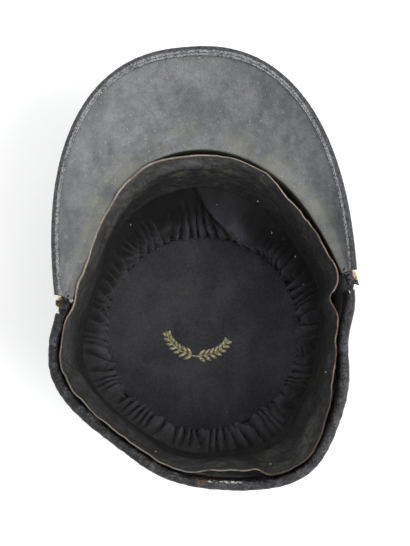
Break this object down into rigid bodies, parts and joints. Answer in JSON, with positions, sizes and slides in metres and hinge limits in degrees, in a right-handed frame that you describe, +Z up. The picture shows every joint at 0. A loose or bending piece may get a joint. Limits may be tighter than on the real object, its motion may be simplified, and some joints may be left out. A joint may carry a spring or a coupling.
{
  "type": "kepi cap",
  "caption": "Soft cloth kepi with a leather peak, leather sweatband and gathered lining, resting upside down on its flat crown.",
  "frame": {"origin": "middle of the flat crown top, on the surface that the cap rests on upside down", "axes": "+Z up out of the opening, -Y towards the peak, +X towards the wearer's right"},
  "size_m": [0.1871, 0.2614, 0.1187],
  "materials": {
    "wool": "milled navy wool cloth",
    "skirt_lining": "black cotton lining, gathered",
    "tip_lining": "blue-black twill lining",
    "peak_leather": "satin grey-black leather, dusty and blotched",
    "binding_leather": "grained black leather, worn",
    "sweatband_leather": "dull black-brown leather with a raw tan edge",
    "strap_leather": "dark brown leather",
    "gilt": "worn gilt brass"
  },
  "bodies": {
    "root": {"crown_top": "wool", "crown_side": "wool", "band": "wool", "rim_binding": "binding_leather", "peak": "peak_leather", "peak_binding": "binding_leather", "sweatband": "sweatband_leather", "lining_skirt": "skirt_lining", "lining_tip": "tip_lining", "chin_strap": "strap_leather", "side_button_right": "gilt", "side_button_left": "gilt"}
  },
  "joints": []
}
